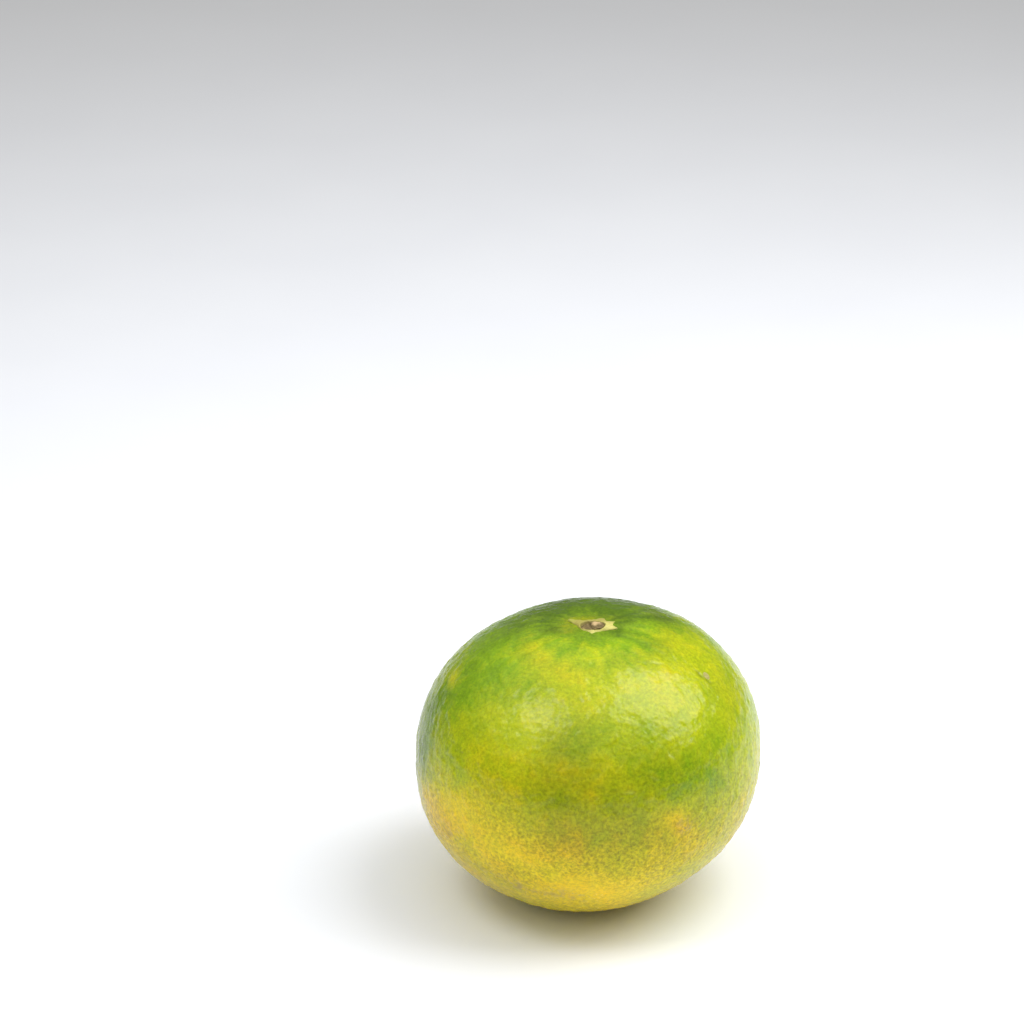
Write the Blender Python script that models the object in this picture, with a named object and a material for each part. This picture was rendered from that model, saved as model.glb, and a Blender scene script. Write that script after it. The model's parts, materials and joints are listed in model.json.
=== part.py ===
"""A sweet orange as picked: the fruit, its star-shaped calyx and the stub of its stem. Metres, +Z up."""

import math
import random

import bmesh
import bpy
from mathutils import Vector, noise

MM = 0.001
# Edges sharper than this many degrees aren't shaded smooth
SHARP_EDGE = 45

# Body, measured from its widest level
EQUATOR_RADIUS = 34.9 * MM
CROWN_HEIGHT = 30.2 * MM
BASE_DEPTH = 29.5 * MM
# Exponent of the side profile: 2 is an ellipse, and more is squarer at the shoulders
FULLNESS = 2.13
# The flat spot that it rests on takes this much off the blossom end, and eases into the round
FLAT_SPOT_CUT = 0.55 * MM
FLAT_SPOT_EASE = 0.15 * MM

# Uneven growth: azimuth, angle above the widest level, spread (all in degrees), rise
SWELLS = (
    (24, 45, 25, 1.5 * MM),
    (204, -30, 28, 0.35 * MM),
    (156, 45, 25, 0.2 * MM),
    (336, -35, 25, -1.1 * MM),
    (95, 55, 14, 0.3 * MM),
)
DENT_SIZE = 15 * MM
DENT_RISE = 0.22 * MM

# Stem end: a shallow basin with furrows that run out of it, off the middle as the fruit leans
STEM_X = 0.7 * MM
STEM_Y = -1.1 * MM
BASIN_DEPTH = 1.0 * MM
BASIN_SPREAD = 6.5 * MM
FURROW_START = 5.5 * MM
FURROW_PEAK = 9.5 * MM
FURROW_END = 23 * MM
# Furrows as waves round the stem: how many, their phase in degrees, their depth
FURROW_WAVES = ((9, 20, 0.13 * MM), (5, 75, 0.12 * MM), (14, 130, 0.06 * MM))

# Oil-gland pits, one for each point of a geodesic net over the rind
NET_CUTS = 11
PIT_DEPTH = 0.34 * MM
PIT_SHALLOWEST = 0.55
PIT_SCATTER = 0.16
PIT_SEED = 7

# Scar of the style: a small dish in the flat spot, off the middle as the fruit leans
STYLE_SCAR_X = -3.6 * MM
STYLE_SCAR_Y = -1.4 * MM
STYLE_SCAR_RADIUS = 1.3 * MM
STYLE_SCAR_DEPTH = 0.4 * MM
# Its floor's radius, as a share of its mouth's
STYLE_SCAR_TAPER = 0.55
STYLE_SCAR_SIDES = 18

# Calyx: a fleshy disc with five uneven lobes, pressed into the crown
CALYX_SIDES = 90
CALYX_CORE = 3.2 * MM
# Each lobe's tip: azimuth, half width (both in degrees), reach from the stem's middle
# The lobe on the right has split into two tips, and the one at the front left has worn short
LOBES = (
    (146, 13, 6.0 * MM),
    (60, 16, 4.8 * MM),
    (28, 11, 5.1 * MM),
    (-3, 12, 5.0 * MM),
    (-94, 17, 3.9 * MM),
    (-150, 20, 3.4 * MM),
)
LOBE_POINT = 1.35
# Levels above the rind where the stem stood, and how far in its corners are rounded
CALYX_UNDER = -1.2 * MM
CALYX_HEEL = -0.8 * MM
CALYX_EDGE = 0.12 * MM
CALYX_SHOULDER = 0.24 * MM
CALYX_SLOPE = 0.34 * MM
CALYX_CREST = 0.52 * MM
CREST_UNEVEN = 0.18
UNDER_ROUNDING = 0.35 * MM
EDGE_ROUNDING = 0.25 * MM
# The crest round the hollow, rim to rim, as a share of the hollow's size
CREST_OUTSIDE = 1.15
CREST_INSIDE = 1.02
HOLLOW_LONG = 2.5 * MM
HOLLOW_SHORT = 1.75 * MM
HOLLOW_FLOOR = -0.7 * MM
HOLLOW_TAPER = 0.87
SOCKET_GAP = 0.3 * MM
# The socket's cutter ends this high above the rind
CUTTER_TOP = 2 * MM

# Stub: the stem's torn end, standing in the calyx's hollow
STUB_SIDES = 28
STUB_LONG = 1.75 * MM
STUB_SHORT = 1.12 * MM
STUB_HIGH = 0.46 * MM
STUB_LOW = 0.02 * MM
STUB_RAGGED = 0.05 * MM
STUB_RAISED_SIDE = 25
STUB_ROUNDING = 0.15 * MM

COLOURS = {
    "fruit": ((0.42, 0.50, 0.035), 0.36),
    "calyx": ((0.62, 0.55, 0.26), 0.62),
    "stem_stub": ((0.19, 0.11, 0.06), 0.8),
}


def smooth_step(value, low, high):
    """0 below low, 1 above high, and a smooth rise between them."""
    t = min(1.0, max(0.0, (value - low) / (high - low)))
    return t * t * (3 - 2 * t)


def direction_to(azimuth, elevation):
    """The unit vector at these angles, in degrees."""
    a, e = math.radians(azimuth), math.radians(elevation)
    return Vector((math.cos(e) * math.cos(a), math.cos(e) * math.sin(a), math.sin(e)))


def profile_radius(direction):
    """Distance from the body's middle to the plain, even body."""
    height = CROWN_HEIGHT if direction.z > 0 else BASE_DEPTH
    across = math.hypot(direction.x, direction.y) / EQUATOR_RADIUS
    along = abs(direction.z) / height
    return (across**FULLNESS + along**FULLNESS) ** (-1 / FULLNESS)


def growth(direction):
    """How far uneven growth moves the rind out."""
    rise = DENT_RISE * noise.noise(direction * (EQUATOR_RADIUS / DENT_SIZE))
    for azimuth, elevation, spread, swell in SWELLS:
        angle = math.degrees(direction.angle(direction_to(azimuth, elevation)))
        rise += swell * math.exp(-0.5 * (angle / spread) ** 2)
    return rise


def stem_end(point):
    """How far the basin and the furrows lower the rind at a point of the crown."""
    if point.z < 0:
        return 0.0
    east, north = point.x - STEM_X, point.y - STEM_Y
    away = math.hypot(east, north)
    drop = BASIN_DEPTH * math.exp(-0.5 * (away / BASIN_SPREAD) ** 2)
    fade = smooth_step(away, FURROW_START, FURROW_PEAK) * (1 - smooth_step(away, FURROW_PEAK, FURROW_END))
    around = math.atan2(north, east)
    for count, phase, depth in FURROW_WAVES:
        drop += fade * depth * math.cos(count * around + math.radians(phase))
    return drop


def rest_flat(height):
    """Height above the surface that it rests on, with what would go below it pressed flat."""
    if height <= -FLAT_SPOT_EASE:
        return 0.0
    if height < FLAT_SPOT_EASE:
        return (height + FLAT_SPOT_EASE) ** 2 / (4 * FLAT_SPOT_EASE)
    return height


def rind_point(direction, sunk=0.0):
    """The point of the rind in this direction from the body's middle, sunk by the depth of a pit."""
    point = direction * (profile_radius(direction) + growth(direction) - sunk)
    point.z -= stem_end(point)
    point.z = rest_flat(point.z + BASE_DEPTH - FLAT_SPOT_CUT)
    return point


def stem_seat():
    """The point of the rind where the stem stood."""
    return rind_point(Vector((STEM_X, STEM_Y, CROWN_HEIGHT - BASIN_DEPTH)).normalized())


def new_object(name, bm):
    """An object with this mesh, shaded smooth apart from its sharp edges, and its own material."""
    mesh = bpy.data.meshes.new(name)
    bmesh.ops.recalc_face_normals(bm, faces=bm.faces)
    bm.to_mesh(mesh)
    bm.free()
    mesh.shade_smooth()
    mesh.set_sharp_from_angle(angle=math.radians(SHARP_EDGE))
    obj = bpy.data.objects.new(name, mesh)
    bpy.context.scene.collection.objects.link(obj)
    if name in COLOURS:
        mesh.materials.append(new_material(name, *COLOURS[name]))
    return obj


def new_material(name, colour, roughness):
    """A plain finish of this colour."""
    material = bpy.data.materials.new(name)
    material.use_nodes = True
    surface = material.node_tree.nodes["Principled BSDF"]
    surface.inputs["Base Color"].default_value = (*colour, 1)
    surface.inputs["Roughness"].default_value = roughness
    surface.inputs["Metallic"].default_value = 0
    return material


def gland_net():
    """A unit sphere of triangles, and how deep each pit is, as a share of the deepest.

    Every corner of a scattered geodesic net is a pit, and the middle of each face is on the pits' rims.
    """
    bm = bmesh.new()
    bmesh.ops.create_icosphere(bm, subdivisions=1, radius=1)
    bmesh.ops.subdivide_edges(bm, edges=bm.edges, cuts=NET_CUTS, use_grid_fill=True)
    for vertex in bm.verts:
        vertex.co.normalize()
    scatter = random.Random(PIT_SEED)
    spacing = bm.edges[:][0].calc_length() * PIT_SCATTER
    for vertex in bm.verts:
        vertex.co += Vector([scatter.uniform(-spacing, spacing) for _ in range(3)])
        vertex.co.normalize()
    pits = {vertex: scatter.uniform(PIT_SHALLOWEST, 1) for vertex in bm.verts}
    between = bm.edges[:]
    rims = bmesh.ops.poke(bm, faces=bm.faces)["verts"]
    for vertex in rims:
        vertex.co.normalize()
    bmesh.ops.rotate_edges(bm, edges=between, use_ccw=False)
    return bm, pits


def build_fruit():
    """The whole fruit, one solid, with the pits of its rind."""
    bm, pits = gland_net()
    for vertex in bm.verts:
        vertex.co = rind_point(vertex.co.copy(), PIT_DEPTH * pits.get(vertex, 0))
    return new_object("fruit", bm)


def level(height):
    """A ring at one height."""
    return lambda azimuth: height


def circle(radius):
    """A round ring."""
    return lambda azimuth: radius


def oval(long, short, scale):
    """A ring with these two half axes, the first along X, scaled."""

    def radius(azimuth):
        return scale * long * short / math.hypot(short * math.cos(azimuth), long * math.sin(azimuth))

    return radius


def hollow(scale):
    """A ring of the hollow's shape."""
    return oval(HOLLOW_LONG, HOLLOW_SHORT, scale)


def star_radius(azimuth):
    """The calyx's outline: its distance from the stem's middle at this azimuth, in radians."""
    radius = CALYX_CORE
    for middle, half_width, reach in LOBES:
        turn = math.degrees(abs(math.remainder(azimuth - math.radians(middle), math.tau)))
        radius += (reach - CALYX_CORE) * math.exp(-((turn / half_width) ** LOBE_POINT))
    return radius


def star(grown=0.0):
    """A ring of the calyx's outline, grown outwards by this much."""
    return lambda azimuth: star_radius(azimuth) + grown


def loft(rings, sides, seat):
    """A closed solid through rings of (radius, height), both functions of azimuth, from its underside up."""
    bm = bmesh.new()
    loops = []
    for outline, height in rings:
        loop = []
        for side in range(sides):
            azimuth = math.tau * side / sides
            radius = outline(azimuth)
            offset = Vector((radius * math.cos(azimuth), radius * math.sin(azimuth), height(azimuth)))
            loop.append(bm.verts.new(seat + offset))
        loops.append(loop)
    for lower, upper in zip(loops, loops[1:]):
        for side in range(sides):
            after = (side + 1) % sides
            bm.faces.new((lower[side], lower[after], upper[after], upper[side]))
    for loop in (loops[0], loops[-1]):
        cap = bm.faces.new(loop)
        bmesh.ops.poke(bm, faces=[cap])
    return bm


def build_calyx():
    """The lobed disc round the stem's end, with the hollow that the stem left."""

    def slope(azimuth):
        return (star_radius(azimuth) + hollow(CREST_OUTSIDE)(azimuth)) / 2

    def crest(azimuth):
        return CALYX_CREST * (1 + CREST_UNEVEN * math.sin(azimuth + 1) * math.cos(2 * azimuth))

    rings = (
        (star(-UNDER_ROUNDING), level(CALYX_UNDER)),
        (star(), level(CALYX_HEEL)),
        (star(), level(CALYX_EDGE)),
        (star(-EDGE_ROUNDING), level(CALYX_SHOULDER)),
        (slope, level(CALYX_SLOPE)),
        (hollow(CREST_OUTSIDE), crest),
        (hollow(CREST_INSIDE), crest),
        (hollow(HOLLOW_TAPER), level(HOLLOW_FLOOR)),
    )
    return new_object("calyx", loft(rings, CALYX_SIDES, stem_seat()))


def build_stem_stub():
    """The torn end of the stem, higher on one side."""
    under = HOLLOW_FLOOR + SOCKET_GAP

    def side(scale):
        return oval(STUB_LONG, STUB_SHORT, scale)

    def torn(share):
        def height(azimuth):
            lean = 0.5 + 0.5 * math.cos(azimuth - math.radians(STUB_RAISED_SIDE))
            return share * (STUB_LOW + (STUB_HIGH - STUB_LOW) * lean + STUB_RAGGED * math.sin(5 * azimuth))

        return height

    # The sides, and a torn rim that stands above the stub's own middle
    rings = (
        (side(0.92), level(under)),
        (side(1), level(under + STUB_ROUNDING)),
        (side(0.97), torn(0.7)),
        (side(0.8), torn(1)),
        (side(0.35), torn(0.55)),
    )
    return new_object("stem_stub", loft(rings, STUB_SIDES, stem_seat()))


def cut(fruit, name, bm):
    """Takes this shape out of the fruit."""
    cutter = new_object(name, bm)
    cutter.hide_render = True
    cutter.display_type = "WIRE"
    modifier = fruit.modifiers.new(name, "BOOLEAN")
    modifier.operation = "DIFFERENCE"
    modifier.solver = "EXACT"
    modifier.object = cutter


def cut_socket(fruit):
    """Sinks the calyx's socket into the crown, one gap wider and deeper than the calyx."""
    rings = (
        (star(SOCKET_GAP), level(CALYX_UNDER - SOCKET_GAP)),
        (star(SOCKET_GAP), level(CUTTER_TOP)),
    )
    cut(fruit, "socket_cutter", loft(rings, CALYX_SIDES, stem_seat()))


def cut_style_scar(fruit):
    """Sinks the dish of the style's scar into the flat spot."""
    rings = (
        (circle(STYLE_SCAR_RADIUS * (2 - STYLE_SCAR_TAPER)), level(-STYLE_SCAR_DEPTH)),
        (circle(STYLE_SCAR_RADIUS), level(0)),
        (circle(STYLE_SCAR_RADIUS * STYLE_SCAR_TAPER), level(STYLE_SCAR_DEPTH)),
    )
    cut(fruit, "style_scar_cutter", loft(rings, STYLE_SCAR_SIDES, Vector((STYLE_SCAR_X, STYLE_SCAR_Y, 0))))


def main():
    for obj in list(bpy.data.objects):
        bpy.data.objects.remove(obj)
    fruit = build_fruit()
    cut_socket(fruit)
    cut_style_scar(fruit)
    build_calyx()
    build_stem_stub()


main()
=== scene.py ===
"""The look of a sweet orange: its pitted, half-ripe rind, its dry calyx and the torn end of its stem."""

import json
import math
import random

import bmesh
import bpy
from bpy.props import FloatProperty, FloatVectorProperty, IntProperty, PointerProperty
from mathutils import Euler, Matrix, Vector, noise

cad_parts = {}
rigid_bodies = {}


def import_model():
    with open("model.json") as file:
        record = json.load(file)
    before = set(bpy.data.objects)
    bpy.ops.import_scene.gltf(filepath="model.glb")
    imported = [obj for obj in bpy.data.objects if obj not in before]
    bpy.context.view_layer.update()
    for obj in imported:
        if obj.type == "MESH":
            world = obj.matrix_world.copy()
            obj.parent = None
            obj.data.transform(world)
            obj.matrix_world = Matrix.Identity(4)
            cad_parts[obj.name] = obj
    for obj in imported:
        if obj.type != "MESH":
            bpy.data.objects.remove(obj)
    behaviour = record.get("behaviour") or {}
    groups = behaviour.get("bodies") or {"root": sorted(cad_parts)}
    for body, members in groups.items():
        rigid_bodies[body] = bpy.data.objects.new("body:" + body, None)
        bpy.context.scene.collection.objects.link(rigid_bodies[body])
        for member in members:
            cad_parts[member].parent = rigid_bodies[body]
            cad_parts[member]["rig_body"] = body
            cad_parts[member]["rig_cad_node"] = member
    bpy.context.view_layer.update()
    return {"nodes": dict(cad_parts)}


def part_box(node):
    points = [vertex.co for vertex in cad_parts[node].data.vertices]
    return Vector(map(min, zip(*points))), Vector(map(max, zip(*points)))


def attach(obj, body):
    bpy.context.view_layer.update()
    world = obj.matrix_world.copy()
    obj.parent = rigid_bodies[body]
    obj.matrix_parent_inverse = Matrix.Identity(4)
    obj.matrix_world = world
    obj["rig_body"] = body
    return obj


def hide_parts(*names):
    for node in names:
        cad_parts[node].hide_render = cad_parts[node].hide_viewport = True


bl_info = {
    "name": "Sweet Orange",
    "version": (1, 0, 0),
    "blender": (4, 5, 0),
    "location": "3D View > Sidebar > Orange",
    "description": "Dresses a sweet orange with a pitted, ripening rind, a star-shaped calyx and a stem stub",
    "category": "Add Mesh",
}

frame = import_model()

MM = 0.001

# The fruit's middle, which azimuths and elevations are seen from
FRUIT_LOW, FRUIT_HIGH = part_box("fruit")
MIDDLE = Vector((0, 0, (FRUIT_LOW.z + FRUIT_HIGH.z) / 2))
HALF_WIDTH = (FRUIT_HIGH.x - FRUIT_LOW.x) / 2

# The stem end, from the stub that stands in it
STUB_LOW, STUB_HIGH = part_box("stem_stub")
CALYX_LOW, CALYX_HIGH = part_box("calyx")
# How far the calyx's underside lies below the rind
CALYX_SUNK = 1.2 * MM
STEM = Vector(((STUB_LOW.x + STUB_HIGH.x) / 2, (STUB_LOW.y + STUB_HIGH.y) / 2, CALYX_LOW.z + CALYX_SUNK))
# The solid's socket for the calyx ends within this distance of the stem
SOCKET_REACH = 7.2 * MM
# Half the calyx's hollow along x and along y
HOLLOW_X, HOLLOW_Y = 2.6 * MM, 1.85 * MM
# How far the rind sinks and lies bare under the hollow, and between which shares of its width that ends
HOLLOW_SINK = 0.5 * MM
BARE_TO, BARE_END = 0.8, 1.05

# A corner of the solid that lies this far inside its neighbours' mean is the bottom of a pit
PIT_BOTTOM = 0.05 * MM
# Corners lower than this belong to the flat spot, whose pits are left as they are
FLAT_SPOT_TOP = 0.2 * MM

# Corners beside a gland share this much of its depth, and of its dark mark
BESIDE_DEPTH, BESIDE_MARK = 0.3, 0.35
# Pebbles of two sizes swell the rind, the small ones this share as high as the large
LARGE_PEBBLE, SMALL_PEBBLE = 2.0 * MM, 1.1 * MM
SMALL_SHARE = 0.5
# They grow from nothing near the stem to their full height
PEBBLES_START, PEBBLES_FULL = 2 * MM, 6 * MM
# They are yellower and lighter where they stand above their mean height, greener and darker below it
PEBBLE_MEAN = 0.9
PEBBLE_TONE = 0.08
# Furrows and streaks round the stem: where they start, are full, begin to fade and end
FURROW_START, FURROW_FULL, FURROW_FADE, FURROW_END = 3 * MM, 6 * MM, 10 * MM, 24 * MM
# How close the furrows are round the stem, how much closer the streaks of colour are, how narrow the
# furrows are, and how far one runs outwards before it changes
FURROW_CLOSENESS, STREAK_CLOSENESS = 5, 1.4
FURROW_NARROWNESS = 2.2
FURROW_LENGTH = 7 * MM
# How much riper the streaks are
STREAK_RIPENESS = 0.15
# The crease beside a corky fleck: how deep, and how much greener
CREASE_DEPTH = 0.14 * MM
CREASE_GREENNESS = 0.12
# In lengths of the fleck: how far aside the crease runs, how it leans, its width, how far its
# middle is above the fleck's, and its length
CREASE_ASIDE, CREASE_LEAN, CREASE_WIDTH, CREASE_UP, CREASE_LENGTH = 1.30, 0.10, 0.55, 0.5, 2.6
# Degrees round a fleck in which its crease is looked for
CREASE_WINDOW = 8

# Outlines of the colour patches wander in waves of this size, by so many degrees
WANDER_SIZE = 11 * MM
WANDER_AZIMUTH, WANDER_ELEVATION = 7, 5
# Blotches of ripeness that lie anywhere: their size and strength
BROAD_BLOTCH, BROAD_RIPENESS = 16 * MM, 0.10
SMALL_BLOTCH, SMALL_RIPENESS = 5 * MM, 0.07
# The foot is riper and the crown greener: how much, and between which elevations, in degrees
FOOT_RIPENESS, FOOT_LOW, FOOT_HIGH = 0.22, -34, 20
CROWN_GREENNESS, CROWN_LOW, CROWN_HIGH = 0.08, 50, 80

# Tints that the rind's colour is multiplied by
# The deep olive tint also carries painted shade
DEEP_OLIVE_AND_SHADE = (0.82, 0.72, 0.8)
PALE_OLIVE = (1.3, 1.3, 1.2)
MOTTLE_DARK = (0.66, 0.62, 0.46)
MOTTLE_PALE = (1.12, 1.1, 1)
GLAND_DARK = (0.75, 0.73, 0.58)
BETWEEN_GLANDS = (1.13, 1.12, 1.2)
# Sizes of the rind's colour detail
MOTTLE_SIZE = 0.55 * MM
GLAND_SPACING = 0.95 * MM
# Dry rubbed skin, and the bare brown skin under the hollow
RUBBED_SKIN = (0.33, 0.24, 0.11)
BARE_SKIN = (0.12, 0.09, 0.025)

# Directions round the stem, in degrees: the calyx's pointed front tip, and the side painted palest as painted
# light
FRONT_TIP, FRONT_TIP_SPREAD = -94, 11
PAINTED_LIT_SIDE = -60
# Points of the calyx and the stub above this height, taken from the rind, are their tops
TOP_FROM = -0.2 * MM
# How far the calyx's rim is lowered, in mm: everywhere, more at the front, and more at its tips
RIM_LOWERED, FRONT_LOWERED, TIPS_LOWERED = 0.10, 0.34, 0.14
# The share of the rim's width taken away at the front, and how much of it is spared at the front tip
FRONT_TAKEN, FRONT_TIP_SPARED = 0.78, 0.28
# How uneven the calyx's outline is, and how far its folds run outwards
RIM_JAG = 0.10
FOLD_LENGTH = 2.4 * MM
# The lobes turn green between these distances from the stem
TIP_START, TIP_END = 3.0 * MM, 5.6 * MM
# Painted shade on the calyx's side away from the light
CALYX_SHADE = (0.38, 0.34, 0.065)
CALYX_STAIN = (0.36, 0.32, 0.08)
CALYX_FLECK = (0.66, 0.60, 0.22)
HOLLOW_DARK = (0.16, 0.12, 0.035)
HOLLOW_PALE = (0.36, 0.29, 0.11)

# The stem's end: how far it is spread along x and y, and the grain of its mesh
STUB_WIDER, STUB_DEEPER = 1.32, 1.4
STUB_GRAIN = 0.06 * MM
# How far its fibres and a pale chip stand up, and how far a crack and the low left side lie down
FIBRE_RISE, CHIP_RISE, CRACK_DROP, LEFT_DROP = 0.12 * MM, 0.10 * MM, 0.30 * MM, 0.3 * MM
# Where the chip and the crack are, from the stem's middle, and how wide they are
CHIP_X, CHIP_Y, CHIP_SIZE = 0.55 * MM, 0.6 * MM, 0.8 * MM
CRACK_X, CRACK_WIDTH = -0.35 * MM, 0.16 * MM
OLD_WOOD = (0.30, 0.22, 0.08)

# Flecks are dropped onto the rind from this far out, are this high and this uneven
OUTSIDE = 0.1
FLECK_HEIGHT = 0.16 * MM
FLECK_JAG = 0.07
DARK_CORK = (0.32, 0.29, 0.07)
PALE_CORK = (0.46, 0.41, 0.13)

# Lamps: the way from the fruit, and the distance and size in metres
SOFTBOX = ((0.60, 0.02, 0.80), 0.5, (0.35, 0.47))
WINDOW = ((-0.45, -0.22, 0.867), 1.0, (0.42, 0.37))
# The sky is brightest this way, and dims between these cosines of the angle from it
BRIGHTEST_WAY = (-0.12, -0.12, 0.98)
SKY_DIM_FROM, SKY_BRIGHT_FROM = 0.35, 0.9
# The floor, in metres: it is white up to the first distance from the fruit, and grey from the second,
# a painted falloff of light. Its white is a little blue against the fruit's yellow bounce light
FLOOR_SIZE = 6
FLOOR_WHITE_TO, FLOOR_GREY_FROM = 0.16, 0.75
FLOOR_WHITE = ((0.92, 0.94, 0.99), (0.94, 0.96, 1.0))
FLOOR_FALLOFF_GREY = (0.55, 0.55, 0.55)
# The picture's width in pixels, and the camera's sensor in millimetres
PICTURE_WIDTH = 1024
SENSOR_WIDTH = 36

# Where the rind is riper or greener than around it: azimuth, elevation, how far it spreads along
# each (all in degrees), and how much riper. The patches of each part run from left to right.
# The greener crown at the back and the greener left edge are painted shade
RIPE_AND_SHADE_PATCHES = (
    # Round the stem
    (-147, 54, 10, 4, 0.07),
    (-136, 67, 16, 5, 0.06),
    (-130, 66, 10, 2.5, 0.12),
    (-116, 58, 10, 4, 0.08),
    (-84, 65, 40, 7, 0.11),
    (-66, 60, 26, 5, -0.05),
    (-40, 66, 22, 5, -0.06),
    (-28, 67, 20, 6, 0.08),
    (-2, 64, 10, 5, 0.10),
    # Under the crown
    (-172, 37.5, 4, 2.6, 0.28),
    (-160, 42, 16, 9, -0.12),
    (-149, 35, 7, 6, -0.05),
    (-122, 30, 10, 10, 0.06),
    (-112, 51, 16, 6, -0.12),
    (-108, 42, 9, 8, 0.08),
    (-98, 34, 8, 6, -0.10),
    (-94, 38, 7, 6, -0.06),
    (-82, 48, 20, 7, 0.10),
    (-72, 38, 6, 4, -0.10),
    (-54, 46, 16, 7, -0.07),
    (-44, 44, 14, 8, 0.06),
    (-16, 50, 12, 7, 0.11),
    # The middle of the front and of the flanks
    # Painted shade: the left edge greener and darker
    (-172, 10, 9, 16, -0.16),
    (-148, 22, 12, 9, -0.03),
    (-103, 9, 7, 6, -0.11),
    (-88, 14, 4, 3, 0.12),
    (-82, 18, 12, 6, 0.05),
    (-64, 22, 7, 5, -0.06),
    (-61, 23, 8, 7, -0.05),
    (-54, 15, 10, 7, -0.10),
    (-50, 10, 7, 5, -0.12),
    (-44, 27, 9, 8, -0.08),
    (-36, 14, 6, 5, 0.09),
    # The foot
    (-152, -7, 5, 6, 0.16),
    (-144, -3, 11, 10, 0.16),
    (-130, 2, 9, 7, 0.12),
    (-125, -14, 10, 6, 0.10),
    (-117, -15, 6, 4, -0.06),
    (-114, -8, 9, 5, 0.12),
    (-104, -5, 5, 4, 0.08),
    (-98, -8, 8, 5, 0.07),
    (-97, 2, 6, 5, -0.06),
    (-90, -24, 13, 7, 0.14),
    (-80, -8, 8, 6, 0.05),
    (-74, -16, 14, 7, 0.04),
    (-60, 1, 6, 4, 0.20),
    (-57, -2, 3, 3, 0.10),
    # The back; its dark green round the stem is painted shade
    (20, 12, 15, 10, -0.12),
    (60, 5, 20, 14, 0.14),
    # Painted shade: the crown's back greener and darker
    (90, 64, 44, 15, -0.46),
    (118, -14, 16, 9, 0.16),
    (150, 20, 22, 14, -0.14),
)
# Where the rind is a deeper olive than its ripeness alone would make it, in the same terms
# (less than nothing makes it paler). The darkening of the crown's back and of the left edge is painted shade
OLIVE_AND_SHADE_PATCHES = (
    # Round the stem
    (-147, 54, 10, 4, -0.3),
    (-117, 62, 12, 4, 0.3),
    (-84, 68, 50, 6, -0.25),
    (-60, 61, 18, 3.5, 0.3),
    (-40, 67, 26, 6, -0.5),
    # Under the crown
    (-160, 50, 14, 9, -0.35),
    (-119, 35, 8, 6, -0.25),
    (-12, 31, 8, 9, 0.5),
    # The middle of the front and of the flanks
    # Painted shade: the left edge darkened
    (-172, 8, 12, 18, 0.9),
    (-150, 28, 12, 14, -0.2),
    (-117, 26, 9, 6, -0.4),
    (-98, 28, 9, 11, 0.5),
    (-92, 10, 26, 12, 0.6),
    (-61, 23, 8, 7, 0.35),
    (-5, 25, 12, 20, -0.2),
    # The foot
    (-135, 0, 12, 10, -0.35),
    (-124, -30, 18, 9, 0.5),
    (-117, -15, 6, 4, 0.4),
    (-112, -9, 8, 4, -0.35),
    (-100, -16, 30, 14, -0.35),
    (-97, -3, 5, 6, 0.5),
    (-91, -25, 9, 5, -0.35),
    (-66, -4, 18, 9, 0.5),
    (-60, 1, 6, 4, -0.3),
    (-35, 2, 12, 14, 0.2),
    # The back; its dark green round the stem is painted shade
    (70, 18, 24, 14, 0.5),
    # Painted shade: the crown's back darkened
    (90, 64, 42, 15, 1.0),
)
# Marks round the stem: place from the stem's middle and spread along x and y (all in mm), how much
# riper, and how much deeper an olive
CROWN_MARKS = (
    (0.5, 3.8, 3.2, 1.3, 0.13, 1.0),
    (-3.4, 2.8, 2.2, 1.2, 0.09, 0.9),
    (-5.2, -0.6, 1.5, 0.9, 0.05, 1.0),
    (-7.0, -1.2, 2.5, 1.0, 0.03, 0.5),
    (5.0, -1.2, 1.1, 2.0, -0.16, 0.0),
    (6.5, 0.2, 2.2, 0.5, 0.16, 0.0),
    (2.0, -5.0, 2.6, 1.6, -0.03, 0.0),
    (-2.4, -3.4, 1.4, 1.0, -0.06, 0.0),
    (-6.5, -5.6, 3.0, 2.0, 0.09, -0.5),
    (5.2, -5.2, 2.6, 1.8, 0.09, -0.4),
    (9.4, -0.3, 2.0, 1.4, 0.10, -0.4),
    (11.8, -4.4, 2.6, 1.8, -0.05, 0.5),
    (13.7, 7.0, 2.6, 3.0, -0.08, 0.7),
)
# Grey-brown rubbed marks: azimuth, elevation, spread along each, strength
SCUFFS = (
    (-54, -1.5, 2.2, 1.6, 0.75),
    (-117, -26, 3.0, 2.4, 0.8),
    (-146, -13, 5.0, 3.0, 0.5),
    (-101, -29, 7.0, 2.2, 0.6),
    (-128, -20, 7.0, 2.5, 0.3),
    (70, -18, 6.0, 2.0, 0.5),
    (140, 8, 2.5, 3.5, 0.5),
)
# Corky flecks: azimuth, elevation, turn (all in degrees), length, width
FLECKS = (
    (-20.4, 41.6, 75, 0.9 * MM, 0.72 * MM),
    (75, 22, 80, 0.7 * MM, 0.45 * MM),
    (168, -5, 15, 0.9 * MM, 0.4 * MM),
)


def take(obj):
    """Makes this the one object that operators act on."""
    bpy.ops.object.select_all(action="DESELECT")
    obj.select_set(True)
    bpy.context.view_layer.objects.active = obj


def direction_to(azimuth, elevation):
    """The unit vector at these angles, in degrees."""
    a, e = math.radians(azimuth), math.radians(elevation)
    return Vector((math.cos(e) * math.cos(a), math.cos(e) * math.sin(a), math.sin(e)))


def around_stem(angle, closeness, outwards):
    """A place in the noise that runs round the stem without a seam."""
    return Vector((closeness * math.cos(angle), closeness * math.sin(angle), outwards))


def smooth_step(value, low, high):
    """0 below low, 1 above high, and a smooth rise between them."""
    t = min(1.0, max(0.0, (value - low) / (high - low)))
    return t * t * (3 - 2 * t)


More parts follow.
